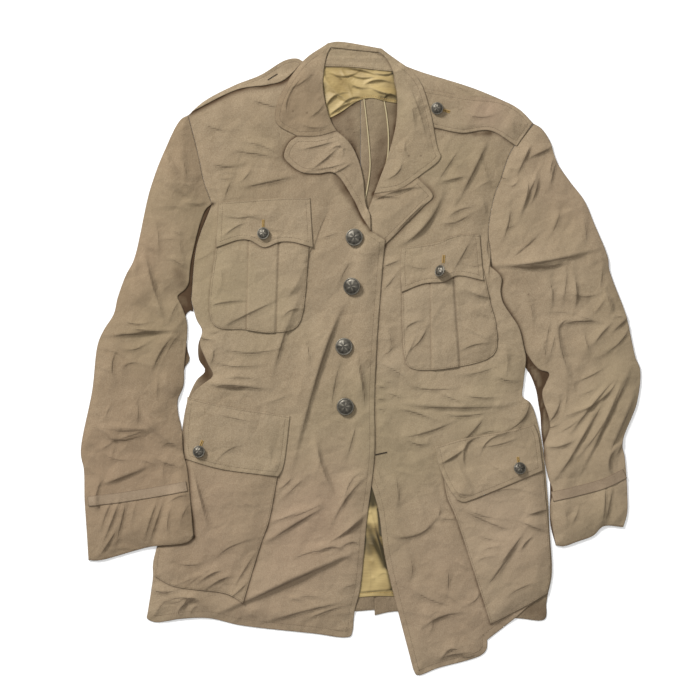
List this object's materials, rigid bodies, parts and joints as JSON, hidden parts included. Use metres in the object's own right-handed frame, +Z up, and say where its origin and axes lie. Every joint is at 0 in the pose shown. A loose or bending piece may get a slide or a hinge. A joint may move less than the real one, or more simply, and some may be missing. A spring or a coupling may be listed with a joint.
{
  "type": "officer jacket",
  "caption": "Khaki drill officer's tunic laid flat and unbuttoned, with open lapels, shoulder straps, flapped breast and skirt pockets, cuff braid and dark domed buttons.",
  "frame": {"origin": "centre of the footprint on the surface that the jacket lies on", "axes": "+X towards the wearer's left sleeve, +Y from the hem to the collar, +Z up from the surface"},
  "size_m": [0.7288, 0.8254, 0.0199],
  "materials": {
    "drill": "khaki cotton drill, matt with a faint sheen on the folds",
    "drill_inside": "inside face of the khaki drill, paler and matt",
    "satin": "gold-yellow cotton satin lining, soft sheen",
    "tape": "cream binding tape, matt",
    "braid": "ribbed khaki braid, matt",
    "button_metal": "dark bronzed brass, half dull"
  },
  "bodies": {
    "root": {"front_right": "drill", "front_left": "drill", "collar": "drill", "lapel_right": "drill", "lapel_left": "drill", "sleeve_right_top": "drill", "sleeve_right_under": "drill", "sleeve_left_top": "drill", "sleeve_left_under": "drill", "shoulder_strap_right": "drill", "shoulder_strap_left": "drill", "breast_pocket_right": "drill", "breast_pocket_left": "drill", "breast_flap_right": "drill", "breast_flap_left": "drill", "skirt_pocket_right": "drill", "skirt_pocket_left": "drill", "skirt_flap_right": "drill", "skirt_flap_left": "drill", "collar_stand": "drill", "back_right": "drill_inside", "back_left": "drill_inside", "neck_lining": "satin", "skirt_lining": "satin", "seam_tape_right": "tape", "seam_tape_left": "tape", "cuff_braid_right": "braid", "cuff_braid_left": "braid", "button_front_1": "button_metal", "button_front_2": "button_metal", "button_front_3": "button_metal", "button_front_4": "button_metal", "button_breast_right": "button_metal", "button_breast_left": "button_metal", "button_skirt_right": "button_metal", "button_skirt_left": "button_metal", "button_strap_left": "button_metal"}
  },
  "joints": []
}
